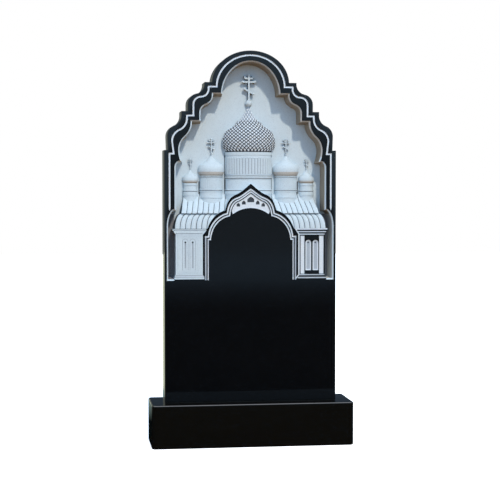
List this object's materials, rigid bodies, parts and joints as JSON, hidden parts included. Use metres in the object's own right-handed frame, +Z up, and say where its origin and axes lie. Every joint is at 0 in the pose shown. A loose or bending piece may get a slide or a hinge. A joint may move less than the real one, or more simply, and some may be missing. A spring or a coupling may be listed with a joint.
{
  "type": "headstone",
  "caption": "Upright memorial stele on a plinth block, its head an arch on swan-necked steps, with a niche that holds a carved church with onion domes.",
  "frame": {"origin": "middle of the plinth's underside", "axes": "+Z up the stele, the carved face looks along -Y, +X to the right of someone who faces the carving"},
  "size_m": [0.7, 0.21, 1.365],
  "materials": {
    "granite_stele": "polished black granite, with the carving left matte and light grey",
    "granite_plinth": "polished black granite with rounded edges"
  },
  "bodies": {
    "root": {"stele": "granite_stele", "plinth": "granite_plinth"}
  },
  "joints": []
}
